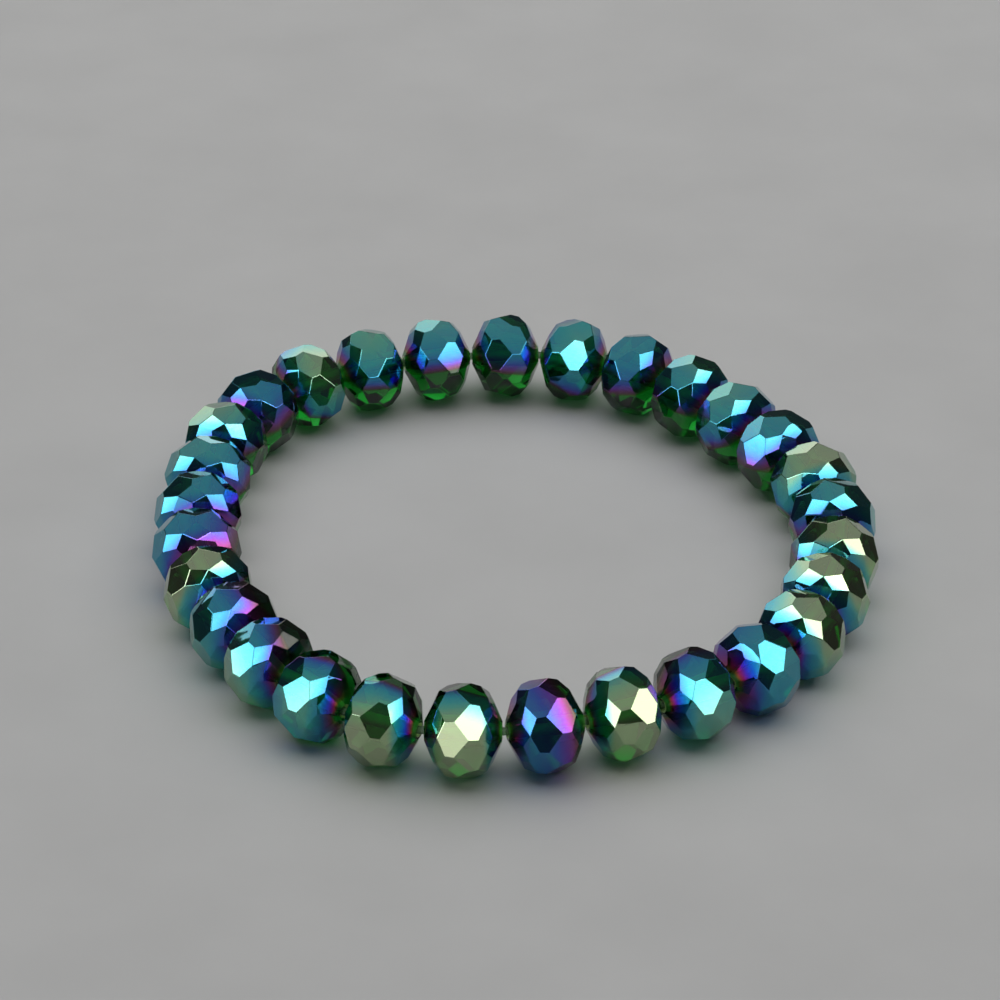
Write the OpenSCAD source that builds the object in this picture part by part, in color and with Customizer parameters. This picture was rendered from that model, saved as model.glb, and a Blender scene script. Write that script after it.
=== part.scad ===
// Beaded stretch bracelet: one closed string of faceted glass beads on an elastic thread.
// Lengths are in millimetres. The bracelet lies flat on the plane z = 0, and +Z is up.
// The origin is below the middle of the loop, and +X runs to the right of the viewer.

/* [Beads] */
// Number of beads on the string
bead_count = 29; // [24:1:34]
// Diameter of a bead across the corners of its belt
bead_d = 8; // [7:0.1:9]
// Length of a bead along the thread
bead_l = 6.45; // [5.8:0.05:7]
// Clear space between the closest edges of two neighbouring beads
bead_clear = 0.1; // [0.1:0.05:0.5]

/* [Facets] */
// Number of facets in each row round a bead
facets = 8; // [7:1:10]
// Lean of the belt facets towards the ends of the bead, in degrees
belt_lean = 14; // [13:0.5:16]
// Distance of the side corners of a belt facet, as a share of half the bead's length
corner_share = 0.43; // [0.4:0.01:0.46]
// Distance of the tip of a belt facet, as a share of half the bead's length
tip_share = 0.63; // [0.6:0.01:0.66]
// Width of the flat rim round the bore at each end of a bead
rim = 0.25; // [0.2:0.05:0.5]

/* [Loop] */
// How far the loop is drawn out to an oval, as a share of its mean radius
oval = 0.082; // [0:0.001:0.1]
// Direction of the long way of the oval, counted from +X, in degrees
oval_turn = 99; // [0:1:179]
// Height of the three soft bulges round the loop, as a share of its mean radius
bulge = 0.021; // [0:0.001:0.025]
// Direction of the first of the three bulges, in degrees
bulge_turn = 0; // [0:1:119]
// Height of the four soft corners of the loop, as a share of its mean radius
squareness = 0.011; // [0:0.001:0.015]
// Direction of the first of the four corners, in degrees
square_turn = 70; // [0:1:89]
// Height of the six faint ripples round the loop, as a share of its mean radius
ripple = 0.016; // [0:0.001:0.018]
// Direction of the first of the six ripples, in degrees
ripple_turn = 14; // [0:1:59]
// Place of the knot before the first bead, past the left-hand end of the loop, in beads
first_knot = 0.15; // [0:0.05:1]

/* [Thread] */
// Diameter of the elastic thread
thread_d = 0.7; // [0.5:0.05:0.8]
// Clear space round the thread inside the bore of a bead
thread_clear = 0.2; // [0.15:0.05:0.3]

/* [Hidden] */
// Degrees by which each bead is rolled about the thread, in order along the string
bead_rolls = [22, 8, 19, 13, 11, 10, 1, 0, 7, 38, 20, 41, 26, 35, 12,
              30, 3, 24, 38, 17, 13, 29, 6, 40, 20, 9, 33, 15, 27];

function bead_name(k) = str("bead_", k < 9 ? "0" : "", k + 1);

// Bead sections: a facet row turns by half a step from one half of the bead to the other
bead_r = bead_d / 2;
half_l = bead_l / 2;
half_step = 180 / facets;
bore_d = thread_d + 2 * thread_clear;
end_apothem = bore_d / 2 + rim;
end_corner = end_apothem / cos(half_step);

// Belt facets lie in planes at belt_reach from the bead's middle, leaning by belt_lean
belt_reach = bead_r * (1 + cos(half_step)) * cos(belt_lean) / 2;
belt_x = bead_r * (1 - cos(half_step)) / (2 * tan(belt_lean));
corner_x = corner_share * half_l;
corner_r = (belt_reach - corner_x * sin(belt_lean)) / (cos(belt_lean) * cos(half_step));
tip_x = tip_share * half_l;
tip_r = (belt_reach - tip_x * sin(belt_lean)) / cos(belt_lean);

// Kite facets fall from corner to tip, end facets from tip to rim, and they meet at a point
kite_fall = (tip_r * cos(half_step) - corner_r) / (tip_x - corner_x);
end_fall = (end_apothem - tip_r) / (half_l - tip_x);
point_x = (tip_r - tip_x * end_fall - (corner_r - corner_x * kite_fall) * cos(half_step))
        / (kite_fall * cos(half_step) - end_fall);
point_r = corner_r + (point_x - corner_x) * kite_fall;

// Rows of corners on one half of the bead: [distance from the middle, radius, turn]
half_rows = [
    [belt_x, bead_r, half_step],
    [corner_x, corner_r, half_step],
    [tip_x, tip_r, 0],
    [point_x, point_r, half_step],
    [half_l, end_corner, half_step],
];
belt = 0;
corner = 1;
tip = 2;
point = 3;
end = 4;

function ring(x, r, turn) =
    [for (i = [0 : facets - 1]) [x, r * cos(turn + 2 * i * half_step), r * sin(turn + 2 * i * half_step)]];

bead_points = [
    for (row = half_rows) each ring(row[0], row[1], row[2]),
    for (row = half_rows) each ring(-row[0], row[1], half_step - row[2]),
];

// Index of corner i in a row, on the half towards +X (far = 0) or the other (far = 1)
function at(row, i, far) = (row + far * len(half_rows)) * facets + (i + facets) % facets;
function facing(face, far) = far == 0 ? face : [for (k = [len(face) - 1 : -1 : 0]) face[k]];

function belt_facet(i, far) = [
    at(tip, i, far), at(corner, i + far, far), at(belt, i + far, far), at(belt, i, 1 - far),
    at(belt, i + far - 1, far), at(corner, i + far - 1, far),
];
function kite_facet(i, far) =
    [at(tip, i - far, far), at(point, i, far), at(tip, i + 1 - far, far), at(corner, i, far)];
function end_facet(i, far) = [
    at(point, i + far - 1, far), at(end, i + far - 1, far), at(end, i + far, far),
    at(point, i + far, far), at(tip, i, far),
];
function end_face(far) = [for (i = [facets - 1 : -1 : 0]) at(end, i, far)];

bead_faces = [
    for (far = [0, 1])
        each [
            for (i = [0 : facets - 1])
                each [
                    facing(belt_facet(i, far), far),
                    facing(kite_facet(i, far), far),
                    facing(end_facet(i, far), far),
                ],
            facing(end_face(far), far),
        ],
];

// Loop: a closed curve of mean radius 1 with soft bulges, walked in short steps
loop_steps = 360;
function loop_r(a) = 1
    + oval * cos(2 * (a - oval_turn))
    + bulge * cos(3 * (a - bulge_turn))
    + squareness * cos(4 * (a - square_turn))
    + ripple * cos(6 * (a - ripple_turn));
loop = [for (k = [0 : loop_steps]) let (a = 360 * k / loop_steps - 180) loop_r(a) * [cos(a), sin(a)]];
walked = [
    for (k = 0, s = 0; k <= loop_steps; s = s + (k < loop_steps ? norm(loop[k + 1] - loop[k]) : 0), k = k + 1) s
];
x_walked = [for (k = [0 : loop_steps]) [walked[k], loop[k][0]]];
y_walked = [for (k = [0 : loop_steps]) [walked[k], loop[k][1]]];
function on_loop(share) =
    let (s = (share - floor(share)) * walked[loop_steps]) [lookup(s, x_walked), lookup(s, y_walked)];

// The string bends at the knots, half-way between two beads, and each bead lies straight
function span(knots, k) = knots[k % bead_count + 1] - knots[k % bead_count];
function heading(knots, k) = atan2(span(knots, k)[1], span(knots, k)[0]);
function bend(knots, k) = abs((heading(knots, k + 1) - heading(knots, k) + 540) % 360 - 180);

// Space that a bend keeps open between the middles of the two end faces, bead_clear at their closest
function gap(knots, k) = bead_clear / cos(bend(knots, k) / 2) + 2 * end_corner * tan(bend(knots, k) / 2);

// Knots are first laid evenly, and then laid again by the room that each bead takes
even_knots = [for (k = [0 : bead_count]) on_loop((k + first_knot) / bead_count)];
function relaid(knots) =
    let (
        room = [
            for (k = [0 : bead_count - 1])
                bead_l + (gap(knots, k + bead_count - 1) + gap(knots, k)) / 2
        ],
        passed = [
            for (k = 0, s = 0; k <= bead_count; s = s + (k < bead_count ? room[k] : 0), k = k + 1) s
        ]
    )
    [for (s = passed) on_loop(first_knot / bead_count + s / passed[bead_count])];
knots = relaid(relaid(even_knots));

// The loop is drawn up until every two neighbours are at least bead_clear apart
function reach(k) = (norm(span(knots, k)) + norm(span(knots, k + 1))) / 2;
loop_scale = max([for (k = [0 : bead_count - 1]) (bead_l + gap(knots, k)) / reach(k)]);

// Bead centres, moved so that the middle of the loop is over the origin
centres = [for (k = [0 : bead_count - 1]) loop_scale * (knots[k] + knots[k + 1]) / 2];
function middle(values) = (min(values) + max(values)) / 2;
loop_middle = [middle([for (c = centres) c[0]]), middle([for (c = centres) c[1]])];

// A bead rests on the corner of its belt that is nearest to straight down
function roll(k) = bead_rolls[k % len(bead_rolls)];
function off_down(k) = let (past = (270 - roll(k)) % half_step) min(past, half_step - past);
function bead_at(k) = concat(centres[k] - loop_middle, bead_r * cos(off_down(k)));

// Thread: a ring of corners at both ends of every bore, joined into one closed tube
thread_sides = 10;
function thread_ring(k, side) = [
    for (j = [0 : thread_sides - 1])
        let (h = heading(knots, k), out = thread_d / 2 * cos(360 * j / thread_sides))
            bead_at(k)
                + side * half_l * [cos(h), sin(h), 0]
                + [-sin(h) * out, cos(h) * out, thread_d / 2 * sin(360 * j / thread_sides)]
];
thread_points = [for (k = [0 : bead_count - 1]) for (side = [-1, 1]) each thread_ring(k, side)];
function on_thread(r, j) = (r % (2 * bead_count)) * thread_sides + j % thread_sides;
thread_faces = [
    for (r = [0 : 2 * bead_count - 1])
        for (j = [0 : thread_sides - 1])
            each [
                [on_thread(r, j), on_thread(r + 1, j), on_thread(r + 1, j + 1)],
                [on_thread(r, j), on_thread(r + 1, j + 1), on_thread(r, j + 1)],
            ],
];

module cut_glass() {
    polyhedron(points = bead_points, faces = bead_faces);
}

module bore() {
    rotate([0, 90, 0])
        cylinder(h = 2 * bead_l, d = bore_d, center = true, $fn = 32);
}

module bead(k) {
    color([0.05, 0.34, 0.3])
        translate(bead_at(k))
            rotate([roll(k), 0, heading(knots, k)])
                difference() {
                    cut_glass();
                    bore();
                }
}

module elastic_thread() {
    color([0.72, 0.84, 0.74])
        polyhedron(points = thread_points, faces = thread_faces);
}

for (k = [0 : bead_count - 1])
    bead(k);
elastic_thread();
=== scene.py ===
from math import cos, radians, sin, tan

import bpy
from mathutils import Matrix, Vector


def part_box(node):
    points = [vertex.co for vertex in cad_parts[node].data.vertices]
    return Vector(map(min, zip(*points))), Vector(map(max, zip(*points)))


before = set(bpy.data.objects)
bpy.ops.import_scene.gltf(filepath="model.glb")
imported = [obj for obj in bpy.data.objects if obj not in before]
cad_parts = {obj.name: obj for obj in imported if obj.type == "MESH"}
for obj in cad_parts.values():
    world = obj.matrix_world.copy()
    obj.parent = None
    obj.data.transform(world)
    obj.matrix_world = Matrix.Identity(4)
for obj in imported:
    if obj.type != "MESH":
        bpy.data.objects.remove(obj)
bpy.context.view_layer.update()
print("frame loaded:", len(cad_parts), "nodes")

# Lengths are in metres and angles in degrees, unless a note says otherwise


class Wire:
    # An output of a node. A sum, product or power of wires adds its own Math nodes.
    def __init__(self, tree, socket=None):
        self.tree = tree
        self.socket = socket

    def node(self, kind, settings=None, inputs=None, out=0):
        made = self.tree.nodes.new(kind)
        for name, value in (settings or {}).items():
            if name == "stops":
                fillRamp(made.color_ramp, value)
            else:
                setattr(made, name, value)
        for name, value in (inputs or {}).items():
            if isinstance(value, Wire):
                self.tree.links.new(value.socket, made.inputs[name])
            else:
                made.inputs[name].default_value = value
        return Wire(self.tree, made.outputs[out]) if made.outputs else None

    def maths(self, operation, *values):
        return self.node("ShaderNodeMath", {"operation": operation}, dict(enumerate(values)))

    def __add__(self, other):
        return self.maths("ADD", self, other)

    def __radd__(self, other):
        return self.maths("ADD", other, self)

    def __sub__(self, other):
        return self.maths("SUBTRACT", self, other)

    def __rsub__(self, other):
        return self.maths("SUBTRACT", other, self)

    def __mul__(self, other):
        return self.maths("MULTIPLY", self, other)

    def __rmul__(self, other):
        return self.maths("MULTIPLY", other, self)

    def __pow__(self, other):
        return self.maths("POWER", self, other)

    def __rpow__(self, other):
        return self.maths("POWER", other, self)

    def __abs__(self):
        return self.maths("ABSOLUTE", self)

    def between(self, low, high, smooth=False):
        # 0 up to the low value, 1 from the high one on
        settings = {"interpolation_type": "SMOOTHSTEP" if smooth else "LINEAR"}
        inputs = {"Value": self, "From Min": low, "From Max": high}
        return self.node("ShaderNodeMapRange", settings, inputs)

    def along(self, direction):
        settings = {"operation": "DOT_PRODUCT"}
        return self.node("ShaderNodeVectorMath", settings, {0: self, 1: direction}, out="Value")

    def length(self):
        return self.node("ShaderNodeVectorMath", {"operation": "LENGTH"}, {0: self}, out="Value")

    def ramp(self, stops):
        return self.node("ShaderNodeValToRGB", {"stops": stops}, {"Fac": self}, out="Color")


def fillRamp(ramp, stops):
    while len(ramp.elements) < len(stops):
        ramp.elements.new(0.5)
    for element, (place, colour) in zip(ramp.elements, stops):
        element.position = place
        element.color = (*colour, 1)


def newMaterial(name):
    material = bpy.data.materials.new(name)
    material.use_nodes = True
    material.node_tree.nodes.clear()
    return material, Wire(material.node_tree)


def objectPlace(wire):
    # A point of the piece, in the bracelet's own frame
    return wire.node("ShaderNodeTexCoord", out="Object")


def finishMaterial(wire, surface, volume=None):
    inputs = {"Surface": surface}
    if volume:
        inputs["Volume"] = volume
    wire.node("ShaderNodeOutputMaterial", inputs=inputs)


def dress(thing, material):
    thing.data.materials.clear()
    thing.data.materials.append(material)


# Camera
camera = {
    "down": 29.72,              # the angle at which it looks down
    "away": 0.3566,
    "aim": (-0.00134, 0.01195, 0),  # a point on the floor
    "lens": 137.8,              # lens and sensor in millimetres
    "sensor": 36,
    "near": 0.01,
}


def compass(turn, up):
    # Way from the middle: 0 is behind the bracelet, 90 to the right, 180 to the viewer
    turn, up = radians(turn), radians(up)
    return Vector((sin(turn) * cos(up), cos(turn) * cos(up), sin(up)))


def setCamera():
    lens = bpy.data.cameras.new("viewer")
    lens.lens = camera["lens"]
    lens.sensor_width = camera["sensor"]
    lens.clip_start = camera["near"]
    eye = bpy.data.objects.new("viewer", lens)
    aim = Vector(camera["aim"])
    eye.location = aim + compass(180, camera["down"]) * camera["away"]
    eye.rotation_euler = (aim - eye.location).to_track_quat("-Z", "Y").to_euler()
    bpy.context.collection.objects.link(eye)
    bpy.context.scene.camera = eye
    print("camera set")


# Beads: cut glass, half of each under a film that mirrors
beadNames = sorted(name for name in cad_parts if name.startswith("bead_"))

bead = {
    "across": 0.008,
    "long": 0.00645,
    "bore": 0.0011,
    "edgeRound": 0.00004,       # radius of the fire-polished edges
    "edgeFrom": 16,             # edges that bend by more than this are rounded
    "edgeSteps": 2,
    "joinWithin": 0.000001,     # corners this close are one
    "flatWithin": 0.5,          # facets that bend by less than this are one
    "ior": 1.56,
    "body": (0.06, 0.70, 0.36),
    "density": 880,
    "polish": 0.015,            # roughness of the facets
    "waves": 0.000002,          # height of the faint waves that the polish leaves
    "wavesPerMetre": 700,
    "waveDetail": 1,
    "frost": 0.6,               # added roughness of the bore's wall, which is milky
    "milk": 0.95,               # how much light the wall throws back
    "frostTo": (1.04, 1.24),    # where the frost ends, in radii of the bore
}

# The film thins away from the side that it faces and towards the holes. Its colour is what it
# mirrors at each share of its full thickness.
film = {
    "falls": 0.3,               # how it thins away from its side, as a power
    "fades": 0.18,              # where it fades to bare glass, as a share of its reach
    "thins": (0.55, 0.96),      # where it thins towards a hole, in half lengths of the bead
    "endFalls": 0.4,            # how it thins there, as a power
    "mirror": 0.46,             # how much it mirrors at most
    "fullMirror": 0.5,          # share of the full thickness at which it mirrors so much
    "mottle": 0.045,            # cloudy unevenness of the thickness
    "cloudsPerMetre": 2600,
    "cloudDetail": 3,
    "colours": [
        (0.00, (0.78, 0.96, 0.50)),
        (0.10, (0.70, 0.60, 0.22)),
        (0.20, (0.86, 0.36, 0.08)),
        (0.29, (0.74, 0.04, 0.26)),
        (0.36, (0.62, 0.03, 0.54)),
        (0.43, (0.30, 0.05, 0.78)),
        (0.50, (0.07, 0.15, 0.87)),
        (0.58, (0.03, 0.36, 0.86)),
        (0.67, (0.04, 0.54, 0.80)),
        (0.76, (0.09, 0.66, 0.78)),
        (0.84, (0.22, 0.77, 0.66)),
        (0.92, (0.50, 0.82, 0.53)),
        (1.00, (0.67, 0.81, 0.49)),
    ],
}

# The coat of film on each bead, from bead_01 on. side: the side it faces, as a turn about the
# thread (0 out of the loop, 90 up). thickest: its greatest share of the full thickness. lean:
# how far it leans to the next bead. reaches: how far past the bead's middle, in radii.
coatColumns = ("side", "thickest", "lean", "reaches")
coatRows = [
    (30, 0.68, -10, 0.7), (40, 1.20, -30, 0.5), (-30, 0.82, -5, 0.8), (-40, 0.95, -30, 0.75),
    (15, 0.84, 25, -0.15), (-12, 1.06, 0, 0.25), (-10, 1.10, -5, 0.2), (-20, 0.65, -75, 0.45),
    (2, 1.12, 0, 0.34), (-15, 0.87, 5, 0.6), (35, 0.72, 5, 0.8), (40, 1.05, 10, 0.5),
    (60, 1.10, 15, 0.4), (50, 1.15, 10, 0.5), (60, 0.80, 0, 0.6), (80, 1.00, -20, 0.5),
    (80, 0.78, 10, 0.3), (100, 0.84, 15, 0.2), (70, 0.84, -10, 0.2), (95, 0.72, 10, 0.1),
    (120, 0.80, -25, 0.0), (85, 0.76, -10, 0.1), (70, 0.82, 5, 0.2), (95, 0.86, 0, 0.0),
    (125, 0.96, -10, 0.0), (65, 0.70, 20, 0.3), (60, 0.92, -10, 0.4), (60, 0.80, 10, 0.5),
    (50, 0.74, 0, 0.7),
]
coats = [dict(zip(coatColumns, row)) for row in coatRows]


def beadMiddle(number):
    low, high = (Vector(corner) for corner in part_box(beadNames[number % len(beadNames)]))
    return (low + high) / 2


def beadAxes(number):
    # The way to the next bead along the thread, and the way out of the loop
    ahead = beadMiddle(number + 1) - beadMiddle(number - 1)
    ahead = Vector((ahead.x, ahead.y, 0)).normalized()
    return ahead, Vector((ahead.y, -ahead.x, 0))


def coatedSide(number):
    side, lean = radians(coats[number]["side"]), radians(coats[number]["lean"])
    ahead, outwards = beadAxes(number)
    square = outwards * cos(side) + Vector((0, 0, sin(side)))
    return square * cos(lean) + ahead * sin(lean)


def makeGlass(number):
    material, wire = newMaterial(f"beadGlass{number + 1:02d}")
    coat = coats[number]
    place = objectPlace(wire)
    fromMiddle = {0: place, 1: beadMiddle(number)}
    local = wire.node("ShaderNodeVectorMath", {"operation": "SUBTRACT"}, fromMiddle)
    run = local.along(beadAxes(number)[0])
    height = local.along(coatedSide(number) / (bead["across"] / 2))

    # The wall of the bore is frosted, and has no film
    across = local.length()
    fromThread = (across * across - run * run) ** 0.5
    frostFrom, frostTo = (bead["bore"] / 2 * share for share in bead["frostTo"])
    inBore = 1 - fromThread.between(frostFrom, frostTo, smooth=True)

    # Thickness of the film, and how much of it mirrors
    clouds = {"Vector": place, "Scale": film["cloudsPerMetre"], "Detail": film["cloudDetail"]}
    mottle = (wire.node("ShaderNodeTexNoise", inputs=clouds) - 0.5) * film["mottle"]
    facing = height.between(-coat["reaches"], 1)
    toHole = abs(run * (2 / bead["long"]))
    ends = (1 - toHole.between(*film["thins"])) ** film["endFalls"]
    thick = (facing ** film["falls"] * ends * coat["thickest"] + mottle) * (1 - inBore)
    coated = thick.between(0, film["fullMirror"]) * facing.between(0, film["fades"])

    waves = {"Vector": place, "Scale": bead["wavesPerMetre"], "Detail": bead["waveDetail"]}
    wave = wire.node("ShaderNodeTexNoise", inputs=waves)
    glass = wire.node("ShaderNodeBsdfPrincipled", inputs={
        "Base Color": thick.ramp(film["colours"]),
        "Metallic": coated * film["mirror"] + inBore * bead["milk"],
        "Roughness": bead["polish"] + inBore * bead["frost"],
        "IOR": bead["ior"],
        "Transmission Weight": 1,
        "Normal": wire.node("ShaderNodeBump", inputs={"Height": wave, "Distance": bead["waves"]}),
    })
    depths = {"Color": (*bead["body"], 1), "Density": bead["density"]}
    finishMaterial(wire, glass, wire.node("ShaderNodeVolumeAbsorption", inputs=depths))
    return material


def roundEdges(thing):
    # A packed bead is a shell of loose triangles: they are joined into whole facets first
    join = thing.modifiers.new("join", "WELD")
    join.merge_threshold = bead["joinWithin"]
    facets = thing.modifiers.new("facets", "DECIMATE")
    facets.decimate_type = "DISSOLVE"
    facets.angle_limit = radians(bead["flatWithin"])
    edges = thing.modifiers.new("edges", "BEVEL")
    edges.width = bead["edgeRound"]
    edges.segments = bead["edgeSteps"]
    edges.limit_method = "ANGLE"
    edges.angle_limit = radians(bead["edgeFrom"])


def finishBeads():
    for number, name in enumerate(beadNames):
        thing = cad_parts[name]
        dress(thing, makeGlass(number))
        roundEdges(thing)
    print("beads finished:", len(beadNames))


# Thread: clear elastic, a little milky
thread = {
    "node": "elastic_thread",
    "colours": [(0.3, (0.16, 0.30, 0.16)), (0.7, (0.24, 0.40, 0.22))],
    "cloudsPerMetre": 900,
    "rough": 0.25,
    "ior": 1.5,
    "clear": 0.7,
}


def finishThread():
    material, wire = newMaterial("clearElastic")
    clouds = {"Vector": objectPlace(wire), "Scale": thread["cloudsPerMetre"]}
    elastic = wire.node("ShaderNodeBsdfPrincipled", inputs={
        "Base Color": wire.node("ShaderNodeTexNoise", inputs=clouds).ramp(thread["colours"]),
        "Roughness": thread["rough"],
        "IOR": thread["ior"],
        "Transmission Weight": thread["clear"],
    })
    finishMaterial(wire, elastic)
    dress(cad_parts[thread["node"]], material)
    print("thread finished")


# Floor: plain, pale and dull
ground = {
    "half": 3,                  # half its width
    "pale": (0.62, 0.62, 0.615),
    "shade": 0.94,              # its darker clouds, as a share of the pale colour
    "cloudsPerMetre": 60,
    "cloudDetail": 4,
    "cloudsFrom": 0.3,          # where the clouds are darkest and palest in the noise
    "cloudsTo": 0.7,
    "rough": 0.9,
    "gloss": 0.1,
}


def layFloor():
    half = ground["half"]
    corners = [(-half, -half, 0), (half, -half, 0), (half, half, 0), (-half, half, 0)]
    mesh = bpy.data.meshes.new("floor")
    mesh.from_pydata(corners, [], [(0, 1, 2, 3)])
    floor = bpy.data.objects.new("floor", mesh)
    bpy.context.collection.objects.link(floor)
    material, wire = newMaterial("paleFloor")
    clouds = {
        "Vector": objectPlace(wire),
        "Scale": ground["cloudsPerMetre"],
        "Detail": ground["cloudDetail"],
    }
    shade = tuple(value * ground["shade"] for value in ground["pale"])
    stops = [(ground["cloudsFrom"], shade), (ground["cloudsTo"], ground["pale"])]
    dull = wire.node("ShaderNodeBsdfPrincipled", inputs={
        "Base Color": wire.node("ShaderNodeTexNoise", inputs=clouds).ramp(stops),
        "Roughness": ground["rough"],
        "Specular IOR Level": ground["gloss"],
    })
    finishMaterial(wire, dull)
    dress(floor, material)
    print("floor laid")


# Soft boxes, placed by compass and by height, with their width and height as angles. The facets
# mirror all of them but the sky, which alone lights the floor.
softBoxes = {
    "right": {"turn": 127, "up": 34, "wide": 56, "high": 36, "light": 2.5, "tint": (1, 0.99, 0.93)},
    "front": {"turn": 169, "up": 37, "wide": 28, "high": 24, "light": 2.7, "tint": (1, 1, 1)},
    "small": {"turn": -170, "up": 24, "wide": 16, "high": 14, "light": 2.3, "tint": (0.95, 0.99, 1)},
    "left": {"turn": -115, "up": 27, "wide": 44, "high": 40, "light": 2.7, "tint": (0.95, 0.99, 1)},
    "low": {"turn": -148, "up": 6, "wide": 18, "high": 16, "light": 1.2, "tint": (1, 0.98, 0.94)},
    "rear": {"turn": -18, "up": 13, "wide": 46, "high": 20, "light": 1.0, "tint": (1, 0.99, 0.97)},
    "ceiling": {"turn": 0, "up": 88, "wide": 100, "high": 92, "light": 0.33, "tint": (0.97, 1, 1)},
    "sky": {"turn": 10, "up": 72, "wide": 95, "high": 80, "light": 0.88, "tint": (1, 1, 1)},
}
boxesAway = 0.9
powerForLight = 4               # a square metre of this power looks as bright as a light of 1


def placeSoftBoxes():
    for name, box in softBoxes.items():
        lamp = bpy.data.lights.new(name, "AREA")
        lamp.shape = "RECTANGLE"
        lamp.size = 2 * boxesAway * tan(radians(box["wide"] / 2))
        lamp.size_y = 2 * boxesAway * tan(radians(box["high"] / 2))
        lamp.color = box["tint"]
        lamp.energy = box["light"] * lamp.size * lamp.size_y * powerForLight
        panel = bpy.data.objects.new(name, lamp)
        panel.location = compass(box["turn"], box["up"]) * boxesAway
        panel.rotation_euler = (-panel.location).to_track_quat("-Z", "Y").to_euler()
        panel.visible_camera = False
        panel.visible_glossy = name != "sky"
        panel.visible_diffuse = name == "sky"
        bpy.context.collection.objects.link(panel)
    print("soft boxes:", len(softBoxes))


# Room: a faint light from all sides, and the plain grey seen past the floor's edge
room = {"gloom": 0.04, "shown": (0.45, 0.45, 0.45)}


def lightRoom():
    world = bpy.data.worlds.new("room")
    world.use_nodes = True
    world.node_tree.nodes.clear()
    wire = Wire(world.node_tree)
    seen = wire.node("ShaderNodeLightPath", out="Is Camera Ray")
    faint = {"Color": (1, 1, 1, 1), "Strength": room["gloom"]}
    gloom = wire.node("ShaderNodeBackground", inputs=faint)
    shown = wire.node("ShaderNodeBackground", inputs={"Color": (*room["shown"], 1), "Strength": 1})
    either = wire.node("ShaderNodeMixShader", inputs={0: seen, 1: gloom, 2: shown})
    wire.node("ShaderNodeOutputWorld", inputs={"Surface": either})
    bpy.context.scene.world = world
    bpy.context.scene.view_settings.view_transform = "Standard"
    print("room lit")


setCamera()
finishBeads()
finishThread()
layFloor()
placeSoftBoxes()
lightRoom()
